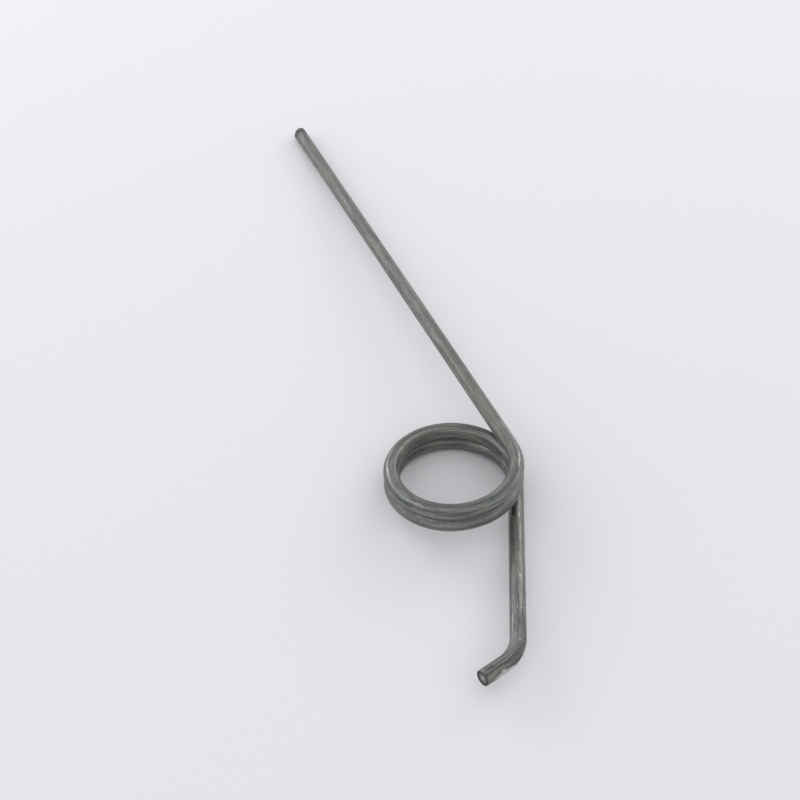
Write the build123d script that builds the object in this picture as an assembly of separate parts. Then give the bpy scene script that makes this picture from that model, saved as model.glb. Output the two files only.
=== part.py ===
from build123d import *
import os
from math import atan2, degrees

# A torsion spring of heavy round wire, cold wound in one piece, in millimetres and degrees.
# It has two close turns and a part turn, a long straight leg that leaves the top turn, and a
# short straight leg that leaves the bottom turn and ends in an inward hook.

# Wire
wire_diameter = 6.0
crop_angle = 5.0              # how far a cropped end face is from square
crop_round = 0.6              # rolled edge round each cropped end

# Winding, right-hand
inside_diameter = 42.0        # the bore that an arbor passes through
turn_gap = 0.12               # daylight between one turn and the next
winding_angle = 744.5         # two full turns, and 24.5 degrees between the roots of the legs

# Long leg, from the top turn: a run-out where the wire springs back straight, then straight
run_out_radius = 900.0        # on the wire's centreline
run_out_length = 15.0
long_leg_length = 226.1

# Short leg, from the bottom turn, and the hook that drops into its anchor hole
short_leg_length = 71.8
hook_bend_radius = 14.7       # on the wire's centreline
hook_bend_angle = 50.1
hook_length = 9.4

# Unheld, the spring lies on the far side of its bottom turn and on its long leg's tip
lean_angle = 5.52             # between the coil's axis and the vertical
lean_heading = 30.6           # of the level line that it leans about, from the bottom turn's start

wire_radius = wire_diameter / 2
mean_radius = (inside_diameter + wire_diameter) / 2
pitch = wire_diameter + turn_gap
run_out_angle = degrees(run_out_length / run_out_radius)
winding_steps = 37            # sections up the coil, one every 20.1 degrees

helix = Helix(pitch=pitch, height=pitch * winding_angle / 360, radius=mean_radius)


def section(share, direction=1):
    """Where the wire's cross-section stands, a share of the way up the winding: its normal runs
    along the wire, up it or down it, and its x axis points at the coil's axis."""
    point = helix @ share
    inward = Vector(-point.X, -point.Y, 0)
    return Plane(origin=point, x_dir=inward, z_dir=(helix % share) * direction).location


def straight_step(length):
    """The move from one end of a straight run of wire to the other."""
    return Pos(0, 0, length)


def bend_step(radius, angle):
    """The move round a bend that turns towards the section's own x axis."""
    return Pos(radius, 0, 0) * Rot(0, angle, 0) * Pos(-radius, 0, 0)


def straight_run(start, length):
    """A straight run of wire from a section, along its normal."""
    return start * extrude(Circle(wire_radius), amount=length)


def bent_run(start, radius, angle):
    """An arc of wire from a section, turning towards its x axis."""
    centre = Axis((radius, 0, 0), (0, 1, 0))
    return start * revolve(Circle(wire_radius), axis=centre, revolution_arc=angle)


def cropped_run(start, length):
    """A straight run with a cropped far end: its face a little out of square, its edge rolled."""
    end = start * straight_step(length) * Rot(crop_angle, 0, 0)
    side = 3 * wire_diameter
    waste = end * Pos(0, 0, side / 2) * Box(side, side, side)
    run = straight_run(start, length + wire_diameter) - waste
    face = run.faces().sort_by_distance(end.position)[0]
    return fillet(face.edges(), crop_round)


# Where each stretch of the wire starts
long_leg_root = section(1)
long_leg_start = long_leg_root * bend_step(run_out_radius, run_out_angle)
short_leg_start = section(0, direction=-1)
hook_bend_start = short_leg_start * straight_step(short_leg_length)
hook_start = hook_bend_start * bend_step(hook_bend_radius, hook_bend_angle)


def winding():
    """The close turns: one smooth skin through the wire's sections, square to the helix."""
    shares = [step / winding_steps for step in range(winding_steps + 1)]
    return loft([section(share) * Circle(wire_radius) for share in shares])


def long_leg():
    """The run-out from the top turn, and the long leg to its cropped tip."""
    run_out = bent_run(long_leg_root, run_out_radius, run_out_angle)
    return run_out + cropped_run(long_leg_start, long_leg_length)


def short_leg():
    """The short leg from the bottom turn, its bend, and the hook to its cropped end."""
    bend = bent_run(hook_bend_start, hook_bend_radius, hook_bend_angle)
    leg = straight_run(short_leg_start, short_leg_length)
    return leg + bend + cropped_run(hook_start, hook_length)


def laid_down(spring):
    """The spring as it comes to rest on the surface z = 0. The long leg runs over +Y, and the
    coil's axis meets the surface at the origin."""
    lean = Rot(0, 0, lean_heading) * Rot(-lean_angle, 0, 0) * Rot(0, 0, -lean_heading)
    leg_line = Plane(lean * long_leg_start).z_dir
    turned = Rot(0, 0, degrees(atan2(leg_line.X, leg_line.Y))) * lean
    laid = turned * spring
    height = -laid.bounding_box().min.Z
    coil_axis = Plane(turned).z_dir
    foot = coil_axis * (height / coil_axis.Z)
    return Pos(foot.X, foot.Y, height) * laid


os.makedirs("parts", exist_ok=True)
torsion_spring = laid_down(winding() + long_leg() + short_leg())
export_step(torsion_spring, "parts/torsion_spring.step")
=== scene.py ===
from math import atan2, cos, pi, radians, sin, tan

import bpy
import numpy as np
from mathutils import Matrix, Vector


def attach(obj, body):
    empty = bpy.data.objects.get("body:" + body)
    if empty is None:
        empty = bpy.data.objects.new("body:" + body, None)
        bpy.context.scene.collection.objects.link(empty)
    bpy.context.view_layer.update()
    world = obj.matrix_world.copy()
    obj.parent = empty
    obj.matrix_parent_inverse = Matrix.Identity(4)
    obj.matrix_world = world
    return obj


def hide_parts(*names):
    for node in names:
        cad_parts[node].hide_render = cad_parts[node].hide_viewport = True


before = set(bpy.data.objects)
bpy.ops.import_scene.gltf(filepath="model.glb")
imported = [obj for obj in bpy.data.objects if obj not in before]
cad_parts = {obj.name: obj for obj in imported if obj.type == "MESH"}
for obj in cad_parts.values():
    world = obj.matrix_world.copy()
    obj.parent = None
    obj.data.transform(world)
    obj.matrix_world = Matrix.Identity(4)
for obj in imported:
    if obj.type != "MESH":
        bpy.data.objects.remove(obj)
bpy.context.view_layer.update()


# ---- The wire ----
# One length of heavy hard-drawn steel wire, wound cold on an arbor: two close turns and a part
# turn, a long straight leg off the top turn, and a short leg with an inward hook off the bottom
# turn. The bending tool has pressed a small flat on the hook, and both ends are cropped.

# Sizes in metres
wire_radius = 0.003
mean_radius = 0.024
turn_pitch = 0.00612
winding_angle = radians(744.5)
run_out_radius = 0.900
run_out_length = 0.015
long_leg_length = 0.2261
short_leg_length = 0.0718
hook_bend_radius = 0.0147
hook_bend_angle = radians(50.1)
hook_length = 0.0094
lean_angle = radians(5.52)
lean_heading = radians(30.6)
crop_slope = tan(radians(5.0))
crop_dish = 0.00035
hook_end_round = 0.0003

# The long leg's tip: the shear has rolled it over, slanted it, drawn it out and left a burr
leg_tip_round = 0.0016
leg_tip_slant = 0.25
leg_tip_drawn_out = 0.0014
burr_height = 0.00028
burr_reach = 0.0022
burr_from_tip = 0.0027
burr_angle = radians(25)

# The flat that the bending tool pressed on the hook
tool_flat_depth = 0.00020
tool_flat_angle = radians(178)
tool_flat_from, tool_flat_to = -0.0905, -0.0800
tool_flat_lead_in = 0.0008
tool_flat_run_out = 0.0035

# How finely the mesh is made
ring_points = 72
ring_gap = 0.0009
roll_steps = 8
face_rings = (0.02, 0.2, 0.4, 0.6, 0.8, 0.92)

hook_bend_length = hook_bend_radius * hook_bend_angle
turn_rise = turn_pitch / (2 * pi)
winding_length = winding_angle * Vector((mean_radius, turn_rise)).length
one_turn = winding_length * 2 * pi / winding_angle
hook_end_at = -short_leg_length - hook_bend_length - hook_length
leg_tip_at = winding_length + run_out_length + long_leg_length + leg_tip_drawn_out
burr_at = leg_tip_at - burr_from_tip


def slide(distance):
    """The move along a straight stretch of wire."""
    return Matrix.Translation((0, 0, distance))


def bend(radius, angle):
    """The move round a bend towards the wire's own x axis."""
    out, back = Matrix.Translation((radius, 0, 0)), Matrix.Translation((-radius, 0, 0))
    return out @ Matrix.Rotation(angle, 4, "Y") @ back


def on_helix(angle):
    """The wire's place in the winding: z along the wire, x towards the coil's axis."""
    inward = Vector((-cos(angle), -sin(angle), 0))
    along = Vector((-sin(angle) * mean_radius, cos(angle) * mean_radius, turn_rise)).normalized()
    place = Matrix((inward, along.cross(inward), along)).transposed().to_4x4()
    place.translation = (cos(angle) * mean_radius, sin(angle) * mean_radius, angle * turn_rise)
    return place


def wire_place(distance):
    """The wire's place at a distance along it, counted from where the short leg meets the coil."""
    if distance < 0:
        hook_bend = on_helix(0) @ slide(-short_leg_length)
        past_leg = distance + short_leg_length
        if past_leg > 0:
            return on_helix(0) @ slide(distance)
        if past_leg > -hook_bend_length:
            return hook_bend @ bend(hook_bend_radius, past_leg / hook_bend_radius)
        return hook_bend @ bend(hook_bend_radius, -hook_bend_angle) @ slide(past_leg + hook_bend_length)
    if distance < winding_length:
        return on_helix(winding_angle * distance / winding_length)
    past_coil = distance - winding_length
    run_out = min(past_coil, run_out_length)
    run_out_end = on_helix(winding_angle) @ bend(run_out_radius, run_out / run_out_radius)
    return run_out_end @ slide(past_coil - run_out)


# The spring leans as it lies on a level floor, and is turned so that its long leg points along y
lean_turn = Matrix.Rotation(lean_heading, 4, "Z")
lean = lean_turn @ Matrix.Rotation(-lean_angle, 4, "X") @ lean_turn.inverted()
leg_line = (lean @ wire_place(leg_tip_at)).col[2]
turned = Matrix.Rotation(atan2(leg_line.x, leg_line.y), 4, "Z") @ lean


def tool_flat(distance, angle):
    """The share of the wire's radius that the bending tool's flat leaves."""
    lead_in = (distance - tool_flat_from) / tool_flat_lead_in
    run_out = (tool_flat_to - distance) / tool_flat_run_out
    depth = tool_flat_depth * max(0, min(1, lead_in, run_out))
    facing = cos(angle - tool_flat_angle)
    return min(1, (wire_radius - depth) / wire_radius / facing) if facing > 0 else 1


def tip_burr(distance, angle):
    """The share of the wire's radius that the shear has spread it by, beside the long leg's tip."""
    near = max(0, 1 - abs(distance - burr_at) / burr_reach)
    return burr_height / wire_radius * near * near * (3 - 2 * near) * max(0, cos(angle - burr_angle))


def ring(distance, radius, crop, slant):
    """One ring of points round the wire, in place and as they were on the straight wire."""
    points, unbent = [], []
    place = turned @ wire_place(distance)
    for step in range(ring_points):
        angle = 2 * pi * step / ring_points
        reach = radius * (tool_flat(distance, angle) + tip_burr(distance, angle))
        x, y = reach * cos(angle), reach * sin(angle)
        points.append(place @ Vector((x, y, crop * y - slant * x)))
        unbent.append((radius * cos(angle), radius * sin(angle), distance))
    return points, unbent


def cropped_end(rounding):
    """How far back from the end each ring of a cropped face and its rolled edge lies, and its radius."""
    turns = [pi / 2 * step / roll_steps for step in range(roll_steps + 1)]
    rolled = [(rounding * (1 - sin(turn)), wire_radius - rounding * (1 - cos(turn))) for turn in turns]
    face_radius, dish = wire_radius - rounding, min(crop_dish, rounding)
    dished = [(dish * (1 - share ** 2), face_radius * share) for share in face_rings]
    return dished + rolled[::-1]


def wire_rings():
    """The distance, radius, crop's slope and slant of every ring, from hook end to leg tip."""
    hook_end, leg_tip = cropped_end(hook_end_round), cropped_end(leg_tip_round)
    rings = [(hook_end_at + back, radius, crop_slope, 0) for back, radius in hook_end]
    first, last = hook_end_at + hook_end_round + ring_gap, leg_tip_at - leg_tip_round - ring_gap
    count = round((last - first) / ring_gap)
    rings += [(first + (last - first) * step / count, wire_radius, 0, 0) for step in range(count + 1)]
    rings += [(leg_tip_at - back, radius, crop_slope, leg_tip_slant) for back, radius in leg_tip[::-1]]
    return rings


def wire_mesh():
    """The wire's skin, lifted onto the floor. Its points keep their places on the straight wire."""
    points, unbent, faces = [], [], []
    rings = wire_rings()
    for distance, radius, crop, slant in rings:
        placed, straightened = ring(distance, radius, crop, slant)
        points += placed
        unbent += straightened
    for row in range(len(rings) - 1):
        for step in range(ring_points):
            a, b = row * ring_points + step, row * ring_points + (step + 1) % ring_points
            faces.append((a, b, b + ring_points, a + ring_points))
    faces.append(tuple(range(ring_points))[::-1])
    faces.append(tuple(range(len(points) - ring_points, len(points))))
    lift = -min(point.z for point in points)
    coil_axis = turned.col[2].to_3d()
    foot = coil_axis * (lift / coil_axis.z)
    mesh = bpy.data.meshes.new("wire")
    mesh.from_pydata([point + foot for point in points], [], faces)
    mesh.attributes.new("straight", "FLOAT_VECTOR", "POINT").data.foreach_set("vector", np.ravel(unbent))
    mesh.shade_smooth()
    return mesh


class Shade:
    """A socket of a material. Sums on it add Math nodes, and node() adds any other node."""

    def __init__(self, tree, socket=None):
        self.tree, self.socket = tree, socket

    def node(self, kind, settings=None, sockets=None, out=0):
        made = self.tree.nodes.new("ShaderNode" + kind)
        for name, value in (settings or {}).items():
            setattr(made, name, value)
        for name, value in (sockets or {}).items():
            if isinstance(value, Shade):
                self.tree.links.new(value.socket, made.inputs[name])
            else:
                made.inputs[name].default_value = value
        return Shade(self.tree, made.outputs[out])

    def maths(self, operation, *values):
        return self.node("Math", {"operation": operation}, dict(enumerate(values)))

    def __add__(self, other):
        return self.maths("ADD", self, other)

    def __sub__(self, other):
        return self.maths("SUBTRACT", self, other)

    def __rsub__(self, other):
        return self.maths("SUBTRACT", other, self)

    def __mul__(self, other):
        return self.maths("MULTIPLY", self, other)

    def __truediv__(self, other):
        return self.maths("DIVIDE", self, other)

    def __pow__(self, other):
        return self.maths("POWER", self, other)

    def __gt__(self, other):
        return self.maths("GREATER_THAN", self, other)

    __radd__, __rmul__ = __add__, __mul__

    def fade(self, low, high):
        """0 at low, 1 at high, and smooth between them."""
        ends = {"Value": self, "From Min": low, "From Max": high}
        return self.node("MapRange", {"interpolation_type": "SMOOTHSTEP"}, ends)

    def clamped(self):
        return self.node("Clamp", {}, {"Value": self})

    def blend(self, first, second):
        """One colour into another, by this share. A Mix node has its colours on sockets 6 and 7."""
        colours = {"Factor": self, 6: first, 7: second}
        return self.node("Mix", {"data_type": "RGBA"}, colours, out=2)


millimetres = 1000
tip_grain_length = 0.0056
sheen_weight = 0.10
sheen_roughness = 0.5
bump_strength = 0.55
bump_depth = 0.00004

blue_grey = (0.080, 0.090, 0.094, 1)
green_grey = (0.106, 0.115, 0.100, 1)
dry_leg_grey = (0.182, 0.189, 0.168, 1)
soap_grey = (0.208, 0.219, 0.180, 1)
# Painted light: the pale colour that lifts the shade in the gap between the turns
painted_gap_light_colour = (0.32, 0.33, 0.31, 1)
patch_lime = (0.27, 0.285, 0.205, 1)
# Bare steel for the rubs and the die's lines, and the colour of the painted highlights along the legs
bare_steel_and_highlight = (0.39, 0.395, 0.375, 1)
pressed_steel = (0.56, 0.56, 0.52, 1)
dirt = (0.030, 0.040, 0.042, 1)
torn_middle = (0.36, 0.365, 0.35, 1)
torn_ring = (0.13, 0.135, 0.125, 1)
# Partly painted shade: the near-black rim of a cropped face
lip_and_painted_shade = (0.010, 0.011, 0.010, 1)

steel = bpy.data.materials.new("drawn_steel")
steel.use_nodes = True
skin = steel.node_tree.nodes["Principled BSDF"]
skin.inputs["Sheen Weight"].default_value = sheen_weight
skin.inputs["Sheen Roughness"].default_value = sheen_roughness
straight = Shade(steel.node_tree).node("Attribute", {"attribute_name": "straight"}, out="Vector")


def figure(across, along, detail=2.0, roughness=0.5, shift=0.0):
    """A noise on the straight wire, drawn out along it. The two sizes are in millimetres."""
    stretch = {0: straight, 1: (millimetres / across, millimetres / across, millimetres / along)}
    scaled = straight.node("VectorMath", {"operation": "MULTIPLY"}, stretch)
    moved = straight.node("VectorMath", {"operation": "ADD"}, {0: scaled, 1: (shift, shift, shift)})
    look = {"Vector": moved, "Scale": 1, "Detail": detail, "Roughness": roughness}
    return straight.node("TexNoise", {}, look)


split = straight.node("SeparateXYZ", {}, {"Vector": straight}).socket.node
side_x, side_y, along_wire = (Shade(steel.node_tree, socket) for socket in split.outputs)
waver = figure(1.2, 2.5, detail=3.0, shift=7.0) - 0.5


def mark(at, angle, length, width, edge=0.5, ragged=1.0):
    """A ragged patch of the surface, at so many millimetres along the wire and degrees round it."""
    turn = radians(angle)
    facing = side_x * cos(turn) + side_y * sin(turn)
    sideways = (side_y * cos(turn) - side_x * sin(turn)) * (2 * millimetres / width)
    endways = (along_wire * millimetres - at) * (2 / length)
    reach = (sideways * sideways + endways * endways) ** 0.5 + waver * ragged
    return (1 - reach.fade(1 - edge, 1)) * (facing > 0)


def marks(listed, ragged):
    """All the marks of a list: where along the wire and round it, length, width and strength."""
    return sum(mark(*spot, ragged=ragged) * strength for *spot, strength in listed)


draw_lines = figure(0.34, 16, detail=5.0, roughness=0.7)
streaks = figure(1.1, 40, detail=3.0, roughness=0.6, shift=3.0)
clouds = figure(2.6, 11, detail=6.0, roughness=0.68, shift=11.0)
drifts = figure(5.0, 45, detail=2.0, shift=21.0)
freckles = figure(0.28, 0.6, detail=3.0, roughness=0.6, shift=5.0)

# Bright rubs and painted highlights: rubs along the legs, where the turns were wound tight, and at the
# hook;
# some of the streaks along the legs are painted highlights, laid where light glints on them
rubs_and_highlights = [
    (381.5, 36, 6.0, 0.7, 0.80), (378.0, 52, 5.0, 0.6, 0.60), (404.0, 72, 6.0, 0.9, 0.25),
    (488.0, 58, 9.0, 0.9, 0.16), (457.0, 50, 3.0, 0.7, 0.30), (448.0, 45, 34.0, 0.6, 0.12),
    (303.0, 112, 12.0, 0.9, 0.50), (227.5, 26, 12.0, 0.7, 0.60), (231.0, 112, 11.0, 0.5, 0.36),
    (252.0, 125, 9.0, 1.7, 0.30), (246.0, 108, 6.0, 0.9, 0.24), (102.5, 126, 9.0, 1.2, 0.42),
    (24.6, 48, 7.0, 0.9, 0.60), (11.4, 34, 3.2, 0.7, 0.80), (-16.5, 106, 3.2, 1.3, 0.60),
    (-25.0, 106, 14.0, 0.8, 0.22), (-45.6, 108, 2.8, 0.7, 0.95), (-50.0, 100, 22.0, 0.5, 0.20),
    (-66.5, 48, 12.0, 0.40, 0.90), (-74.0, 103, 1.1, 0.8, 0.95), (-60.3, 106, 0.5, 4.4, 0.65),
]
rubbed_and_highlit = marks(rubs_and_highlights, ragged=1.8)

# The bright face of the flat that the bending tool pressed
pressed = mark(-86.0, 184, 10.0, 3.0, edge=0.25, ragged=2.0)

# Patches of the lime that the wire was drawn with
limes = [
    (-92.3, 150, 4.5, 3.4, 0.80), (-86.6, 130, 10.0, 1.5, 0.45), (251.5, 126, 14.0, 1.8, 0.65),
    (245.0, 98, 8.0, 1.6, 0.45), (101.0, 154, 9.0, 1.4, 0.65), (-66.0, 108, 10.0, 2.0, 0.25),
    (214.0, 60, 16.0, 1.4, 0.30), (118.0, 140, 20.0, 1.0, 0.30), (275.0, 120, 16.0, 1.4, 0.30),
]
lime = marks(limes, ragged=2.4)

# Dark stains: along the short leg, beside the tool's flat, and a nick in the long leg
stains = [
    (-82.0, 164, 8.0, 1.2, 0.9), (386.5, 112, 1.6, 0.8, 1.0), (-14.5, 72, 7.0, 2.2, 0.8),
    (-27.0, 50, 22.0, 1.8, 0.35), (-66.0, 108, 10.0, 2.4, 0.30), (-91.0, 84, 5.0, 1.4, 0.40),
]
stain = marks(stains, ragged=1.6)

# Parts of the wire that look different: the cropped faces, the long leg, which is drier and
# duller than the coil, and the grainy end of its tip
from_middle = (side_x * side_x + side_y * side_y) ** 0.5 / wire_radius
in_face = 1 - from_middle.fade(0.955, 0.985)
dry = (along_wire + waver * 0.02).fade(0.300, 0.350)
grain = figure(0.7, 1.0, detail=3.0, roughness=0.75, shift=17.0)
tip_grain = ((along_wire - leg_tip_at + tip_grain_length) * millimetres + waver * 3.0).fade(0.0, 1.6)

# Painted light where the turns close on each other, above the first turn and below the rest:
# a pale, less metallic colour that lifts the shade in the gap between them
painted_gap_light = (side_y * (1 / wire_radius)) * ((along_wire > one_turn) * -2 + 1)
painted_gap_light = painted_gap_light.fade(0.80, 0.97) * (along_wire > 0) * (winding_length - along_wire).fade(0, 0.01)

# The lime and soap that the wire was drawn with dull it to a grey green; bare steel shows along
# the die's lines and where it has been rubbed, and painted highlights brighten it in streaks along the
# legs.
die_wear = (streaks * 2.0 + draw_lines * 2.4 + clouds * 0.8 - 2.1).fade(0.05, 0.95) * (0.50 - dry * 0.14)
bare_and_highlit = ((die_wear + rubbed_and_highlit) * (1 - tip_grain) + pressed).clamped()
colour = drifts.fade(0.38, 0.62).blend(blue_grey, green_grey)
dry_soap = (clouds + (draw_lines - 0.5) * 0.9 + (grain - 0.5) * 0.5).fade(0.46, 0.70)
colour = dry_soap.blend((dry * 0.45).blend(colour, dry_leg_grey), soap_grey)
# Painted light in the gap between the turns
colour = painted_gap_light.blend(colour, painted_gap_light_colour)
colour = (lime * (clouds - 0.25) * 2).clamped().blend(colour, patch_lime)
# Bare steel, and painted highlights along the legs
colour = bare_and_highlit.blend(colour, bare_steel_and_highlight)
colour = pressed.blend(colour, pressed_steel)
grit = grain.fade(0.49, 0.60) * (dry * 0.16 + 0.34) + (grain.fade(0.44, 0.54) * 0.62 + 0.20) * tip_grain
speck = (freckles.fade(0.56, 0.68) * 0.50 + grit + stain).clamped()
colour = speck.blend(colour, dirt)

# A cropped face is torn and grainy, brightest at its middle, with a near-black rim:
# partly the lip where the shear bit, partly painted shade on its rolled edge
torn = figure(0.35, 0.35, detail=4.0, roughness=0.7, shift=31.0)
ragged_from_middle = from_middle + (torn - 0.5) * 0.35
face_colour = ragged_from_middle.fade(0.12, 0.40).blend(torn_middle, torn_ring)
# The rim's near-black is partly painted shade on the rolled edge
face_colour = ragged_from_middle.fade(0.54, 0.66).blend(face_colour, lip_and_painted_shade)
colour = (in_face * (1 - tip_grain)).blend(colour, face_colour)

roughness = 0.48 + dry * 0.14 - bare_and_highlit * 0.14 + (draw_lines - 0.5) * 0.24 + (clouds - 0.5) * 0.16
metallic = 0.78 - dry * 0.22 + bare_and_highlit * 0.18 - speck * 0.3 - painted_gap_light * 0.4 - in_face * 0.3
relief = draw_lines * 0.9 + streaks * 0.8 + clouds * 0.8 - grit * 1.2 - speck * 0.5 + in_face * torn * 5.0
bump_size = {"Strength": bump_strength, "Distance": bump_depth}
bumps = straight.node("Bump", {}, {**bump_size, "Height": relief})
surface = {"Base Color": colour, "Roughness": roughness, "Metallic": metallic, "Normal": bumps}
for name, value in surface.items():
    steel.node_tree.links.new(value.socket, skin.inputs[name])

wire = bpy.data.objects.new("wire", wire_mesh())
bpy.context.scene.collection.objects.link(wire)
wire.data.materials.append(steel)
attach(wire, "root")
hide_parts("torsion_spring")


# ---- The floor ----
# A plain pale board that the spring lies on. It runs on far past the lamps, and it isn't a part
# of the spring.

floor_half = 20.0
board_colour = (0.795, 0.785, 0.825, 1)
board_roughness = 0.8
floor_corners = [(-1, -1), (1, -1), (1, 1), (-1, 1)]
floor_mesh = bpy.data.meshes.new("floor")
floor_mesh.from_pydata([(floor_half * x, floor_half * y, 0) for x, y in floor_corners], [], [(0, 1, 2, 3)])
floor = bpy.data.objects.new("floor", floor_mesh)
bpy.context.scene.collection.objects.link(floor)
board = bpy.data.materials.new("pale_board")
board.use_nodes = True
board_skin = board.node_tree.nodes["Principled BSDF"]
board_skin.inputs["Base Color"].default_value = board_colour
board_skin.inputs["Roughness"].default_value = board_roughness
floor_mesh.materials.append(board)


# ---- The light ----
# A bright even room, and three soft lamps low round the spring. From the camera, two stand
# behind it, to the left and the right, and a weaker one stands at its left.

room_strength = 0.86
lamp_width, lamp_depth = 0.85, 0.45
lamp_away = 1.3
lit_point = Vector((0, 0.07, 0))

# Each lamp's heading, height and watts
lamps = {
    "left_lamp": (radians(338.4), radians(22), 3.7),
    "right_lamp": (radians(68.4), radians(22), 2.7),
    "low_lamp": (radians(290), radians(15), 1.3),
}

room = bpy.data.worlds.new("room")
room.use_nodes = True
room.node_tree.nodes["Background"].inputs["Color"].default_value = (1, 1, 1, 1)
room.node_tree.nodes["Background"].inputs["Strength"].default_value = room_strength
bpy.context.scene.world = room

for name, (heading, height, watts) in lamps.items():
    lamp_data = bpy.data.lights.new(name, "AREA")
    lamp_data.shape, lamp_data.energy = "RECTANGLE", watts
    lamp_data.size, lamp_data.size_y = lamp_width, lamp_depth
    lamp = bpy.data.objects.new(name, lamp_data)
    bpy.context.scene.collection.objects.link(lamp)
    away = Vector((sin(heading) * cos(height), cos(heading) * cos(height), sin(height)))
    lamp.location = lit_point + away * lamp_away
    lamp.rotation_euler = away.to_track_quat("Z", "Y").to_euler()
bpy.context.scene.view_settings.view_transform = "Standard"


# ---- The camera ----
# A longish lens about 0.6 m away, looking down on the spring from the coil's end.

aim = Vector((0, 0.0543, 0))
camera_heading = radians(23.36)
camera_height = radians(46.08)
camera_distance = 0.5807
camera_roll = radians(0.93)
lens_length_to_width = 1.752625
level = cos(camera_height)
back = Vector((-sin(camera_heading) * level, -cos(camera_heading) * level, sin(camera_height)))
camera_data = bpy.data.cameras.new("camera")
camera_data.lens = camera_data.sensor_width * lens_length_to_width
camera = bpy.data.objects.new("camera", camera_data)
bpy.context.scene.collection.objects.link(camera)
turn_to_aim = (-back).to_track_quat("-Z", "Y").to_matrix().to_4x4()
roll = Matrix.Rotation(camera_roll, 4, "Z")
camera.matrix_world = Matrix.Translation(aim + back * camera_distance) @ turn_to_aim @ roll
bpy.context.scene.camera = camera
